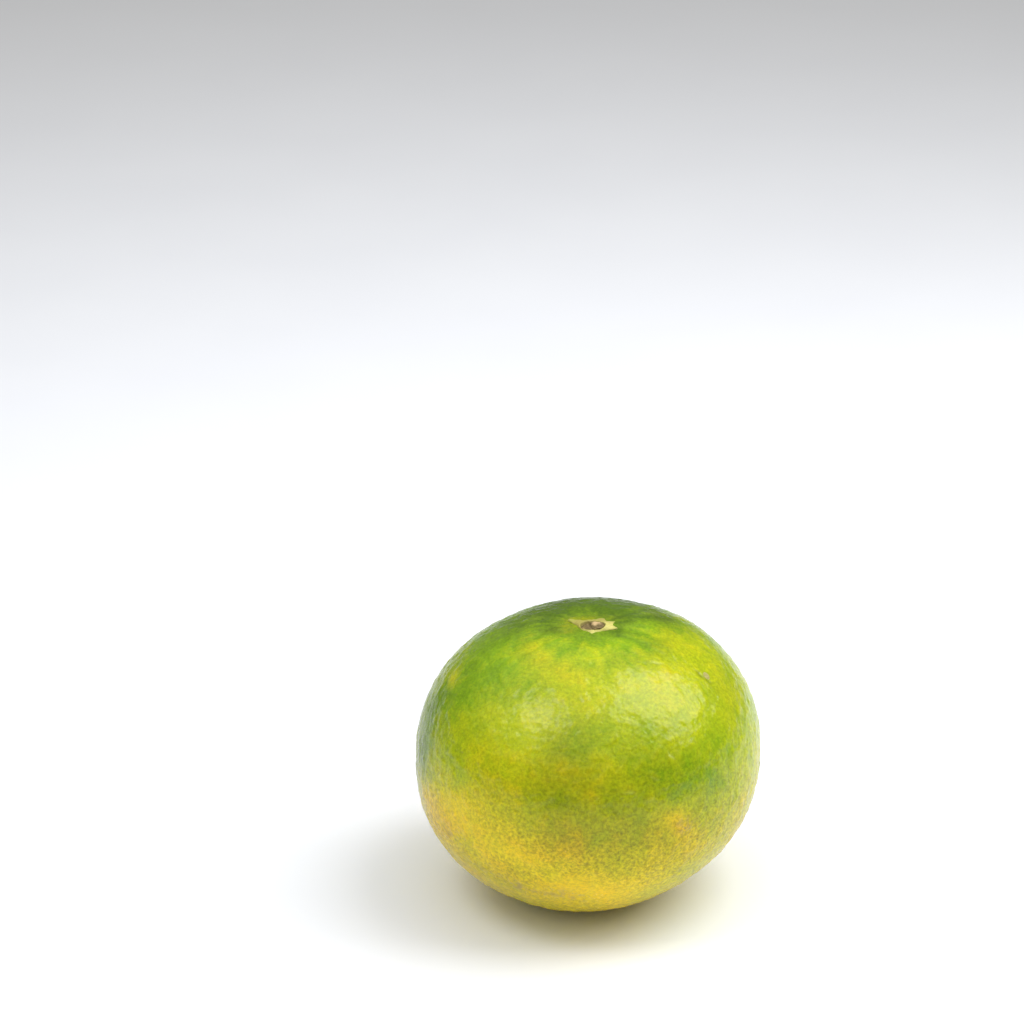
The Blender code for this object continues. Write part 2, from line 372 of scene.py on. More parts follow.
def merged_copy(node, name):
    """A copy of a CAD node with its loose triangles merged, to be shaped further."""
    take(frame["nodes"][node])
    bpy.ops.object.duplicate()
    copy = bpy.context.object
    bpy.ops.object.parent_clear(type="CLEAR_KEEP_TRANSFORM")
    copy.name = name
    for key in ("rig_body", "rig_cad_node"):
        if key in copy:
            del copy[key]
    copy.data.materials.clear()
    bpy.ops.object.mode_set(mode="EDIT")
    bpy.ops.mesh.select_all(action="SELECT")
    bpy.ops.mesh.remove_doubles(threshold=0.001 * MM)
    bpy.ops.object.mode_set(mode="OBJECT")
    return copy


def apply_modifier(obj, kind, **values):
    """Adds a modifier with these values and applies it."""
    take(obj)
    modifier = obj.modifiers.new(kind.lower(), kind)
    for key, value in values.items():
        setattr(modifier, key, value)
    bpy.ops.object.modifier_apply(modifier=modifier.name)


def select_where(obj, test):
    """Selects the vertices of a mesh in edit mode that pass a test."""
    bpy.ops.mesh.select_mode(type="VERT")
    bpy.ops.mesh.select_all(action="DESELECT")
    mesh = bmesh.from_edit_mesh(obj.data)
    chosen = [vertex for vertex in mesh.verts if test(vertex)]
    for vertex in chosen:
        vertex.select = True
    mesh.select_flush_mode()
    bmesh.update_edit_mesh(obj.data)


def set_attribute(mesh, name, values):
    """A number for each vertex, which a material can read by this name."""
    attribute = mesh.attributes.new(name, "FLOAT", "POINT")
    attribute.data.foreach_set("value", values)


def patch_value(patches, azimuth, elevation):
    """The sum of soft oval patches at these angles."""
    total = 0.0
    flatter = math.cos(math.radians(elevation))
    for middle, height, along, up, amount in patches:
        aside = math.degrees(math.remainder(math.radians(azimuth - middle), math.tau)) * flatter
        reach = (aside / along) ** 2 + ((elevation - height) / up) ** 2
        if reach < 16:
            total += amount * math.exp(-0.5 * reach)
    return total


class NodePen:
    """Lays out the nodes of one material, each added by its own line."""

    def __init__(self, name):
        self.material = bpy.data.materials.new(name)
        self.material.use_nodes = True
        self.tree = self.material.node_tree
        self.surface = self.tree.nodes["Principled BSDF"]
        self.place = self.add("ShaderNodeTexCoord").outputs["Object"]

    def height(self):
        """Height above the surface that the fruit rests on."""
        node = self.add("ShaderNodeSeparateXYZ")
        self.put(node.inputs[0], self.place)
        return node.outputs["Z"]

    def tint(self, share, skin, colour):
        """Multiplies a colour by another, by this share."""
        return self.mix(share, skin, self.mix(1.0, skin, colour, "MULTIPLY"))

    def add(self, kind, **values):
        node = self.tree.nodes.new(kind)
        node.location = (-200 * len(self.tree.nodes), 0)
        for key, value in values.items():
            setattr(node, key, value)
        return node

    def put(self, socket, value):
        if isinstance(value, bpy.types.NodeSocket):
            self.tree.links.new(value, socket)
        else:
            socket.default_value = value

    def attribute(self, name):
        return self.add("ShaderNodeAttribute", attribute_name=name).outputs["Fac"]

    def noise(self, size, detail=3.0, rough=0.55, place=None, squash=None):
        """Soft noise from 0 to 1 whose blotches are this big."""
        node = self.add("ShaderNodeTexNoise")
        start = place or self.place
        if squash:
            mapping = self.add("ShaderNodeMapping")
            self.put(mapping.inputs["Vector"], start)
            mapping.inputs["Scale"].default_value = squash
            start = mapping.outputs["Vector"]
        self.put(node.inputs["Vector"], start)
        node.inputs["Scale"].default_value = 1 / size
        node.inputs["Detail"].default_value = detail
        node.inputs["Roughness"].default_value = rough
        return node.outputs["Fac"]

    def cells(self, size, scatter=1.0):
        """Distance from the nearest of many scattered points, as a share of their spacing."""
        node = self.add("ShaderNodeTexVoronoi")
        self.put(node.inputs["Vector"], self.place)
        node.inputs["Scale"].default_value = 1 / size
        node.inputs["Randomness"].default_value = scatter
        return node.outputs["Distance"]

    def math(self, kind, first, second=0.0, third=0.0):
        node = self.add("ShaderNodeMath", operation=kind)
        for socket, value in zip(node.inputs, (first, second, third)):
            self.put(socket, value)
        return node.outputs[0]

    def spread(self, value, low, high, to_low=0.0, to_high=1.0):
        """Takes a value from one range to another, smoothly, and holds it there."""
        node = self.add("ShaderNodeMapRange", interpolation_type="SMOOTHSTEP")
        names = ("Value", "From Min", "From Max", "To Min", "To Max")
        for name, number in zip(names, (value, low, high, to_low, to_high)):
            self.put(node.inputs[name], number)
        return node.outputs["Result"]

    def mix(self, share, first, second, blend="MIX"):
        """Mixes two colours."""
        node = self.add("ShaderNodeMix", data_type="RGBA", blend_type=blend)
        self.put(node.inputs[0], share)
        for socket, value in zip(node.inputs[6:8], (first, second)):
            self.put(socket, value if isinstance(value, bpy.types.NodeSocket) else (*value, 1))
        return node.outputs[2]

    def ramp(self, value, stops):
        """A colour for each value, through stops of (value, colour)."""
        node = self.add("ShaderNodeValToRGB")
        self.put(node.inputs["Fac"], value)
        elements = node.color_ramp.elements
        elements.remove(elements[1])
        for index, (place, colour) in enumerate(stops):
            element = elements[0] if index == 0 else elements.new(place)
            element.position = place
            element.color = (*colour, 1)
        return node.outputs["Color"]

    def bump(self, heights):
        """Joins several heights, each with its depth in metres, into one bumpy normal."""
        normal = None
        for height, depth in heights:
            node = self.add("ShaderNodeBump")
            node.inputs["Distance"].default_value = depth
            self.put(node.inputs["Height"], height)
            if normal:
                self.put(node.inputs["Normal"], normal)
            normal = node.outputs["Normal"]
        self.put(self.surface.inputs["Normal"], normal)

    def finish(self, colour, roughness, **constants):
        """Joins the colour and the roughness, and sets the shader's own numbers."""
        self.put(self.surface.inputs["Base Color"], colour)
        self.put(self.surface.inputs["Roughness"], roughness)
        for name, value in constants.items():
            self.surface.inputs[name.replace("_", " ")].default_value = value
        return self.material


class RindSettings(bpy.types.PropertyGroup):
    """Sizes and colours of the rind."""

    net_steps: IntProperty(
        name="Gland Net",
        description="Subdivisions of the net that the oil glands lie on",
        default=6,
        min=3,
        max=6,
    )
    scatter: FloatProperty(
        name="Scatter", description="How far glands stray from an even net", default=0.6 * MM, unit="LENGTH"
    )
    pit_depth: FloatProperty(
        name="Pit Depth", description="Depth of an oil gland's pit", default=0.07 * MM, unit="LENGTH"
    )
    lump_height: FloatProperty(
        name="Lump Height", description="Height of the rind's pebbles", default=0.23 * MM, unit="LENGTH"
    )
    furrow_depth: FloatProperty(
        name="Furrow Depth",
        description="Depth of the fine furrows round the stem",
        default=0.07 * MM,
        unit="LENGTH",
    )
    inset: FloatProperty(
        name="Inset", description="How far the rind lies inside the solid", default=0.07 * MM, unit="LENGTH"
    )
    ripeness: FloatProperty(
        name="Ripeness",
        description="How ripe the whole fruit is, from green to gold",
        default=0.46,
        min=0,
        max=1,
    )
    seed: IntProperty(name="Seed", description="Seed of the random draws", default=8)
    moss: FloatVectorProperty(
        name="Moss", description="The greenest rind", default=(0.10, 0.20, 0.002), subtype="COLOR", size=3
    )
    green: FloatVectorProperty(
        name="Green", description="Unripe rind", default=(0.21, 0.36, 0.003), subtype="COLOR", size=3
    )
    lime: FloatVectorProperty(
        name="Lime",
        description="Rind that begins to turn",
        default=(0.45, 0.51, 0.003),
        subtype="COLOR",
        size=3,
    )
    yellow: FloatVectorProperty(
        name="Yellow", description="Yellow rind", default=(0.72, 0.58, 0.004), subtype="COLOR", size=3
    )
    gold: FloatVectorProperty(
        name="Gold", description="The ripest rind", default=(0.83, 0.52, 0.004), subtype="COLOR", size=3
    )


class CalyxSettings(bpy.types.PropertyGroup):
    """Sizes and colours of the calyx and of the stem's end."""

    voxel: FloatProperty(
        name="Grain", description="Size of the calyx's mesh", default=0.11 * MM, unit="LENGTH", precision=5
    )
    wrinkle: FloatProperty(
        name="Wrinkle",
        description="Height of its dry wrinkles",
        default=0.06 * MM,
        unit="LENGTH",
        precision=5,
    )
    cream: FloatVectorProperty(
        name="Cream", description="Dry flesh", default=(0.62, 0.57, 0.15), subtype="COLOR", size=3
    )
    tip: FloatVectorProperty(
        name="Tip", description="Greener tips", default=(0.36, 0.40, 0.05), subtype="COLOR", size=3
    )
    wood: FloatVectorProperty(
        name="Wood", description="Torn stem", default=(0.12, 0.085, 0.03), subtype="COLOR", size=3
    )
    fibre: FloatVectorProperty(
        name="Fibre", description="Pale torn fibres", default=(0.60, 0.43, 0.21), subtype="COLOR", size=3
    )


class StageSettings(bpy.types.PropertyGroup):
    """The floor, the lights and the camera."""

    elevation: FloatProperty(
        name="Elevation",
        description="Angle that the camera looks down at",
        default=math.radians(27),
        subtype="ANGLE",
    )
    distance: FloatProperty(
        name="Distance", description="From the fruit's middle to the camera", default=0.9, unit="LENGTH"
    )
    lens: FloatProperty(name="Lens", description="Focal length in millimetres", default=156.8)
    aside: FloatProperty(
        name="Aside", description="How far right of the picture's middle the fruit is, in pixels", default=76
    )
    below: FloatProperty(
        name="Below", description="How far below the picture's middle the fruit is, in pixels", default=242
    )
    sky: FloatProperty(name="Sky", description="Strength of the light from above", default=1.03)
    dim_sky: FloatProperty(name="Dim Sky", description="Strength of the light from low down", default=0.22)
    key: FloatProperty(name="Key", description="Power of the large soft lamp, in watts", default=2.12)
    fill: FloatProperty(name="Fill", description="Power of the small soft lamp, in watts", default=1.9)


def form_of_rims():
    """The smooth form through the rims of the CAD fruit's pits."""
    form = merged_copy("fruit", "rind_form")
    bpy.ops.object.mode_set(mode="EDIT")

    def near_stem(vertex):
        away = math.hypot(vertex.co.x - STEM.x, vertex.co.y - STEM.y)
        return away < SOCKET_REACH and vertex.co.z > MIDDLE.z

    select_where(form, near_stem)
    bpy.ops.mesh.delete(type="VERT")

    def is_pit(vertex):
        if vertex.is_boundary or not vertex.link_edges:
            return False
        around = [edge.other_vert(vertex).co for edge in vertex.link_edges]
        mean = sum(around, Vector()) / len(around)
        outwards = (vertex.co - MIDDLE).normalized()
        return (mean - vertex.co).dot(outwards) > PIT_BOTTOM and vertex.co.z > FLAT_SPOT_TOP

    select_where(form, is_pit)
    bpy.ops.mesh.dissolve_verts()
    bpy.ops.mesh.select_all(action="SELECT")
    bpy.ops.mesh.fill_holes(sides=0)
    mesh = bmesh.from_edit_mesh(form.data)
    lid = max(mesh.faces, key=lambda face: len(face.verts))
    bpy.ops.mesh.select_all(action="DESELECT")
    lid.select = True
    mesh.select_flush_mode()
    bpy.ops.mesh.poke()
    mesh = bmesh.from_edit_mesh(form.data)
    hub = max(mesh.verts, key=lambda vertex: len(vertex.link_edges))
    hub.co = STEM
    bmesh.update_edit_mesh(form.data)
    bpy.ops.object.mode_set(mode="OBJECT")
    apply_modifier(form, "SUBSURF", levels=2, render_levels=2)
    return form


def gland_net(settings, form):
    """A net of triangles drawn onto the form, and how many of its first corners are glands."""
    bpy.ops.object.select_all(action="DESELECT")
    bpy.ops.mesh.primitive_ico_sphere_add(subdivisions=settings.net_steps, radius=HALF_WIDTH, location=MIDDLE)
    rind = bpy.context.object
    rind.name = "rind"
    bpy.ops.object.transform_apply(location=True)
    bpy.ops.object.mode_set(mode="EDIT")
    bpy.ops.mesh.select_all(action="SELECT")
    bpy.ops.transform.vertex_random(offset=settings.scatter, uniform=0.4, normal=0, seed=settings.seed)
    bpy.ops.mesh.vertices_smooth(factor=0.15)
    bpy.ops.object.mode_set(mode="OBJECT")
    apply_modifier(rind, "SHRINKWRAP", target=form, wrap_method="NEAREST_SURFACEPOINT")
    glands = len(rind.data.vertices)
    bpy.ops.object.mode_set(mode="EDIT")
    bpy.ops.mesh.select_all(action="SELECT")
    bpy.ops.mesh.subdivide(number_cuts=2, smoothness=0)
    bpy.ops.object.mode_set(mode="OBJECT")
    apply_modifier(rind, "SHRINKWRAP", target=form, wrap_method="NEAREST_SURFACEPOINT")
    return rind, glands


def pebbles(place, size):
    """Soft pebbles from 0 in their creases to about 1 on top."""
    level = noise.noise(place / size)
    return min(1.0, 0.45 + 0.8 * math.sqrt(level * level + 0.02) + 0.5 * level)


def pebble_height(place):
    """How high the pebbles of both sizes stand together here."""
    return pebbles(place, LARGE_PEBBLE) + SMALL_SHARE * pebbles(place + MIDDLE, SMALL_PEBBLE)


def fleck_crease(way):
    """How near a point is to the crease that runs down beside a corky fleck, from 0 to 1."""
    azimuth = math.degrees(math.atan2(way.y, way.x))
    elevation = math.degrees(math.asin(way.z))
    nearest = 0.0
    for middle, height, turn, long, wide in FLECKS:
        if abs(azimuth - middle) < CREASE_WINDOW and abs(elevation - height) < CREASE_WINDOW:
            aside = math.radians(azimuth - middle) * math.cos(math.radians(elevation)) * HALF_WIDTH
            up = math.radians(elevation - height) * HALF_WIDTH
            off = (aside + (CREASE_ASIDE + CREASE_LEAN * up / long) * long) / (CREASE_WIDTH * long)
            along = (up - CREASE_UP * long) / (CREASE_LENGTH * long)
            nearest = max(nearest, math.exp(-(off**2) - along**2))
    return nearest


def gland_dip(vertex, depths):
    """How deep a point lies in a gland's pit, and how strongly the pit marks it."""
    glands = len(depths)
    if vertex.index < glands:
        return depths[vertex.index], 1.0
    drop, spot = 0.0, 0.0
    for edge in vertex.link_edges:
        other = edge.other_vert(vertex).index
        if other < glands:
            drop, spot = BESIDE_DEPTH * depths[other], BESIDE_MARK
    return drop, spot


def wander(place):
    """How far the patches' outlines wander here, in degrees of azimuth and of elevation."""
    waves = place / WANDER_SIZE
    return WANDER_AZIMUTH * noise.noise(waves), WANDER_ELEVATION * noise.noise(waves + Vector((3, 3, 3)))


def stem_marks(east, north):
    """How much riper and how much deeper an olive the marks round the stem make a point."""
    riper, deeper = 0.0, 0.0
    for x, y, along, across, ripening, darkening in CROWN_MARKS:
        off = (east / MM - x) / along, (north / MM - y) / across
        share = math.exp(-0.5 * (off[0] ** 2 + off[1] ** 2))
        riper += share * ripening
        deeper += share * darkening
    return riper, deeper


def general_ripeness(place, elevation):
    """Ripeness from the blotches that lie anywhere, and from the slow change from foot to crown."""
    blotch = BROAD_RIPENESS * noise.noise(place / BROAD_BLOTCH)
    blotch += SMALL_RIPENESS * noise.noise(place / SMALL_BLOTCH + Vector((0, 5, 0)))
    slope = FOOT_RIPENESS * (1 - smooth_step(elevation, FOOT_LOW, FOOT_HIGH))
    slope -= CROWN_GREENNESS * smooth_step(elevation, CROWN_LOW, CROWN_HIGH)
    return blotch + slope


def shape_rind(rind, glands, settings):
    """Sinks a pit at each gland, raises pebbles, and notes each point's ripeness, olive, painted shade and
    rubbing.
    """
    draw = random.Random(settings.seed)
    depths = [settings.pit_depth * draw.uniform(0.15, 1.3) for _ in range(glands)]
    mesh = bmesh.new()
    mesh.from_mesh(rind.data)
    mesh.verts.ensure_lookup_table()
    mesh.normal_update()
    moved = []
    notes = {"gland": [], "ripe_and_shade": [], "olive_and_shade": [], "scuff": [], "bare": []}
    for vertex in mesh.verts:
        drop, spot = gland_dip(vertex, depths)
        place = vertex.co - MIDDLE
        way = place.normalized()
        turned, raised = wander(place)
        azimuth = math.degrees(math.atan2(way.y, way.x)) + turned
        elevation = math.degrees(math.asin(way.z)) + raised
        east = vertex.co.x - STEM.x
        north = vertex.co.y - STEM.y
        away = math.hypot(east, north)
        on_crown = vertex.co.z > MIDDLE.z
        swell = pebble_height(place)
        lumpy = smooth_step(away, PEBBLES_START, PEBBLES_FULL) if on_crown else 1.0
        drop += settings.lump_height * lumpy * (1 + SMALL_SHARE - swell)
        crease = fleck_crease(way)
        drop += CREASE_DEPTH * crease
        streak, stain, bare = 0.0, 0.0, 0.0
        if on_crown:
            bare = 1 - smooth_step(math.hypot(east / HOLLOW_X, north / HOLLOW_Y), BARE_TO, BARE_END)
            drop += HOLLOW_SINK * bare
            streak, stain = stem_marks(east, north)
            ring = around_stem(math.atan2(north, east), FURROW_CLOSENESS, away / FURROW_LENGTH)
            fade = smooth_step(away, FURROW_START, FURROW_FULL)
            fade *= 1 - smooth_step(away, FURROW_FADE, FURROW_END)
            streak += STREAK_RIPENESS * fade * noise.noise(ring * STREAK_CLOSENESS)
            drop += settings.furrow_depth * fade * (1 - min(1.0, FURROW_NARROWNESS * abs(noise.noise(ring))))
        moved.append(vertex.co - vertex.normal * (drop + settings.inset))
        ripe_and_shade = settings.ripeness + general_ripeness(place, elevation) + streak
        # Ripeness patches, two of them painted shade
        ripe_and_shade += patch_value(RIPE_AND_SHADE_PATCHES, azimuth, elevation)
        # Pebble tops yellower and lighter, creases greener and darker
        ripe_and_shade += PEBBLE_TONE * (swell - PEBBLE_MEAN) - CREASE_GREENNESS * crease
        notes["gland"].append(spot)
        notes["ripe_and_shade"].append(ripe_and_shade)
        # Deeper olive from stains, creases and patches, two of the patches painted shade
        olive_and_shade = stain + crease + patch_value(OLIVE_AND_SHADE_PATCHES, azimuth, elevation)
        notes["olive_and_shade"].append(max(-1.0, min(1.0, olive_and_shade)))
        notes["scuff"].append(patch_value(SCUFFS, azimuth, elevation))
        notes["bare"].append(bare)
    for vertex, place in zip(mesh.verts, moved):
        vertex.co = place
        vertex.co.z = max(vertex.co.z, 0.0)
    mesh.to_mesh(rind.data)
    mesh.free()
    for name, values in notes.items():
        set_attribute(rind.data, name, values)


def rind_material(settings):
    """Waxy rind from green to gold, with a darker dot in each gland."""
    pen = NodePen("waxy rind")
    gland, ripe_and_shade, olive_and_shade, scuff = (pen.attribute(name) for name in ("gland", "ripe_and_shade", "olive_and_shade", "scuff"))
    broad, mid, fine = pen.noise(9 * MM, 4), pen.noise(2.2 * MM, 4, 0.65), pen.noise(0.7 * MM, 3, 0.6)
    # Ripeness sets the hue, and in two patches painted shade
    value = pen.math("MULTIPLY_ADD", pen.math("SUBTRACT", broad, 0.5), 0.22, ripe_and_shade)
    # The colour wavers from spot to spot, less so near the foot
    height = pen.height()
    waver = pen.math("ADD", pen.spread(mid, 0.3, 0.7, -0.03, 0.03), pen.spread(fine, 0.34, 0.66, -0.02, 0.02))
    value = pen.math("MULTIPLY_ADD", waver, pen.spread(height, 10 * MM, 28 * MM, 0.3, 1.0), value)
    stops = (
        (0.05, settings.moss),
        (0.28, settings.green),
        (0.5, settings.lime),
        (0.74, settings.yellow),
        (0.97, settings.gold),
    )
    skin = pen.ramp(value, stops)
    # Deeper olive, and painted shade at the crown's back and the left edge
    skin = pen.tint(pen.math("MAXIMUM", olive_and_shade, 0.0), skin, DEEP_OLIVE_AND_SHADE)
    paler = pen.math("MAXIMUM", pen.math("MULTIPLY", olive_and_shade, -1.0), 0.0)
    skin = pen.tint(paler, skin, PALE_OLIVE)
    # A fine mottle of paler and darker skin, fainter towards the crown and the foot and in pale patches
    strength = pen.spread(height, 18 * MM, 48 * MM, 1.1, 0.42)
    strength = pen.math("MULTIPLY", strength, pen.spread(height, 6 * MM, 24 * MM, 0.72, 1.0))
    strength = pen.math("MULTIPLY", strength, pen.spread(olive_and_shade, -0.5, 0.0, 0.55, 1.0))
    mottle = pen.ramp(pen.noise(MOTTLE_SIZE, 3, 0.7), ((0.38, MOTTLE_DARK), (0.6, MOTTLE_PALE)))
    skin = pen.tint(strength, skin, mottle)
    # Small oil glands of uneven size and strength show as darker dots, the pits faintly too
    uneven = pen.math("MULTIPLY", pen.spread(pen.noise(1.9 * MM, 2), 0.3, 0.7, 0.3, 1.0), strength)
    spacing = pen.cells(GLAND_SPACING)
    dots = pen.math("MULTIPLY", pen.spread(spacing, 0.56, 0.14), uneven)
    pits = pen.math("MULTIPLY", pen.spread(gland, 0.25, 0.95), 0.25)
    skin = pen.tint(pen.math("MAXIMUM", dots, pits), skin, GLAND_DARK)
    between = pen.math("MULTIPLY", pen.spread(spacing, 0.5, 0.8, 0.0, 0.8), strength)
    skin = pen.tint(between, skin, BETWEEN_GLANDS)
    # Rubbed marks are dry and grey-brown, in scraps
    scraps = pen.math("MULTIPLY", scuff, pen.spread(pen.noise(1.3 * MM, 4, 0.65), 0.42, 0.66))
    skin = pen.mix(scraps, skin, RUBBED_SKIN)
    skin = pen.mix(pen.attribute("bare"), skin, BARE_SKIN)
    roughness = pen.spread(mid, 0.2, 0.8, 0.20, 0.28)
    roughness = pen.math("MULTIPLY_ADD", scraps, 0.25, roughness)
    low_dots = pen.math("SUBTRACT", 1.0, dots)
    grain, dimples = pen.noise(0.35 * MM, 3), pen.noise(1.3 * MM, 2)
    pen.bump(((low_dots, 0.015 * MM), (grain, 0.005 * MM), (dimples, 0.05 * MM)))
    return pen.finish(
        skin,
        roughness,
        IOR=1.38,
        Subsurface_Weight=0.1,
        Subsurface_Radius=(1.0, 0.8, 0.15),
        Subsurface_Scale=0.8 * MM,
    )


def fit_piece(obj, node):
    """Hides the CAD node that a finished piece stands for, and ties the piece to the root body."""
    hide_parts(node)
    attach(obj, "root")


class ORANGE_OT_rind(bpy.types.Operator):
    """Make the pitted rind"""

    bl_idname = "orange.rind"
    bl_label = "Rind"

    def execute(self, context):
        settings = context.scene.orange_rind
        form = form_of_rims()
        rind, glands = gland_net(settings, form)
        bpy.data.objects.remove(form)
        shape_rind(rind, glands, settings)
        take(rind)
        bpy.ops.object.shade_smooth()
        rind.data.materials.append(rind_material(settings))
        fit_piece(rind, "fruit")
        return {"FINISHED"}


def shape_calyx(calyx, settings):
    """Thins the rim at the front, flattens and wrinkles the lobes, and notes the hollow, the tips and the
    painted light.
    """
    mesh = calyx.data
    top = CALYX_HIGH.z - 0.03 * MM
    hollow, tip, pale = [], [], []
    for vertex in mesh.vertices:
        place = vertex.co - STEM
        away = math.hypot(place.x, place.y)
        around = math.atan2(place.y, place.x)
        # Painted light: paler towards one side, the painted shade colour on the other
        pale.append(smooth_step(math.cos(around - math.radians(PAINTED_LIT_SIDE)), -0.5, 0.4))
        edge = 1 / math.hypot(math.cos(around) / HOLLOW_X, math.sin(around) / HOLLOW_Y)
        jag = 1 + RIM_JAG * noise.noise(around_stem(around, 2, 3))
        front = smooth_step(-math.sin(around) - 0.25 * math.cos(around), -0.1, 0.6)
        point = math.exp(-(((math.degrees(around) - FRONT_TIP) / FRONT_TIP_SPREAD) ** 2))
        if away > edge:
            squeeze = (FRONT_TAKEN - FRONT_TIP_SPARED * point) * front
            closer = (edge + (away - edge) * (1 - squeeze)) * jag
            vertex.co.x = STEM.x + place.x * closer / away
            vertex.co.y = STEM.y + place.y * closer / away
            away = closer
        ray = around_stem(around, 2.5, away / FOLD_LENGTH)
        lift = settings.wrinkle * (noise.noise(ray * 2.2) + 0.6 * noise.noise(place / (0.6 * MM)))
        if place.z > TOP_FROM:
            flat = smooth_step(away - edge, 0, 2.0 * MM)
            lowered = (RIM_LOWERED + FRONT_LOWERED * front + TIPS_LOWERED * flat) * MM
            vertex.co.z = min(top, vertex.co.z + lift - lowered)
        hollow.append(1 - smooth_step(away / edge, 0.86, 1.04))
        tip.append(smooth_step(away, TIP_START, TIP_END))
    set_attribute(mesh, "hollow", hollow)
    set_attribute(mesh, "tip", tip)
    set_attribute(mesh, "pale", pale)


def calyx_material(settings):
    """Dry cream flesh with painted shade on one side, greener at its tips and brown in its hollow."""
    pen = NodePen("dry calyx")
    hollow, tip = pen.attribute("hollow"), pen.attribute("tip")
    grain, speck = pen.noise(0.9 * MM, 4), pen.noise(0.3 * MM, 3)
    # Painted light and shade: cream on the lit side, the shade colour on the other
    flesh = pen.mix(pen.attribute("pale"), CALYX_SHADE, tuple(settings.cream))
    flesh = pen.mix(pen.spread(tip, 0.2, 1.0, 0, 0.8), flesh, tuple(settings.tip))
    flesh = pen.mix(pen.spread(grain, 0.45, 0.75, 0, 0.6), flesh, CALYX_STAIN)
    flesh = pen.mix(pen.spread(speck, 0.5, 0.8, 0, 0.5), flesh, CALYX_FLECK)
    flesh = pen.mix(hollow, flesh, pen.mix(speck, HOLLOW_DARK, HOLLOW_PALE))
    pen.bump(((speck, 0.05 * MM), (grain, 0.1 * MM)))
    return pen.finish(flesh, pen.spread(grain, 0.2, 0.8, 0.5, 0.75), IOR=1.45)


class ORANGE_OT_calyx(bpy.types.Operator):
    """Make the star-shaped calyx"""

    bl_idname = "orange.calyx"
    bl_label = "Calyx"

    def execute(self, context):
        settings = context.scene.orange_calyx
        calyx = merged_copy("calyx", "calyx_star")
        apply_modifier(calyx, "REMESH", mode="VOXEL", voxel_size=settings.voxel)
        apply_modifier(calyx, "SMOOTH", factor=0.5, iterations=2)
        shape_calyx(calyx, settings)
        bpy.ops.object.shade_smooth()
        calyx.data.materials.append(calyx_material(settings))
        fit_piece(calyx, "calyx")
        return {"FINISHED"}


def shape_stub(stub):
    """Spreads the torn end of the stem over the hollow, tears it up, and notes where its pale fibres are."""
    pale = []
    for vertex in stub.data.vertices:
        place = vertex.co - STEM
        vertex.co.x = STEM.x + STUB_WIDER * place.x
        vertex.co.y = STEM.y + STUB_DEEPER * place.y
        fibres = noise.noise(Vector((place.x / (0.5 * MM), place.y / (0.22 * MM), 0)))
        chip = math.exp(-((place.x - CHIP_X) ** 2 + (place.y - CHIP_Y) ** 2) / CHIP_SIZE**2)
        crack = math.exp(-(((place.x - CRACK_X + 0.3 * place.y) / CRACK_WIDTH) ** 2))
        low_left = smooth_step(-place.x, 0.6 * MM, 1.6 * MM)
        if place.z > TOP_FROM:
            vertex.co.z += FIBRE_RISE * fibres + CHIP_RISE * chip - CRACK_DROP * crack - LEFT_DROP * low_left
        pale.append(min(1.0, max(0.0, chip + 0.5 * fibres - 0.8 * crack - 0.5 * low_left)))
    set_attribute(stub.data, "pale", pale)


def stub_material(settings):
    """Torn brown wood with paler fibres."""
    pen = NodePen("torn stem")
    pale = pen.attribute("pale")
    grain = pen.noise(0.5 * MM, 4, squash=(1, 3, 1))
    wood = pen.mix(pen.spread(grain, 0.4, 0.7), tuple(settings.wood), OLD_WOOD)
    wood = pen.mix(pen.spread(pale, 0.25, 0.9), wood, tuple(settings.fibre))
    pen.bump(((grain, 0.08 * MM),))
    return pen.finish(wood, pen.spread(grain, 0.3, 0.7, 0.65, 0.85), IOR=1.45)


class ORANGE_OT_stem_stub(bpy.types.Operator):
    """Make the torn end of the stem"""

    bl_idname = "orange.stem_stub"
    bl_label = "Stem Stub"

    def execute(self, context):
        settings = context.scene.orange_calyx
        stub = merged_copy("stem_stub", "torn_stem")
        apply_modifier(stub, "REMESH", mode="VOXEL", voxel_size=STUB_GRAIN)
        apply_modifier(stub, "SMOOTH", factor=0.5, iterations=2)
        shape_stub(stub)
        bpy.ops.object.shade_smooth()
        stub.data.materials.append(stub_material(settings))
        fit_piece(stub, "stem_stub")
        return {"FINISHED"}


def fleck_material():
    """Pale tan cork."""
    pen = NodePen("cork fleck")
    grain = pen.noise(0.3 * MM, 4)
    cork = pen.mix(pen.spread(grain, 0.35, 0.65), DARK_CORK, PALE_CORK)
    pen.bump(((grain, 0.06 * MM),))
    return pen.finish(cork, pen.spread(grain, 0.3, 0.7, 0.6, 0.8), IOR=1.45)


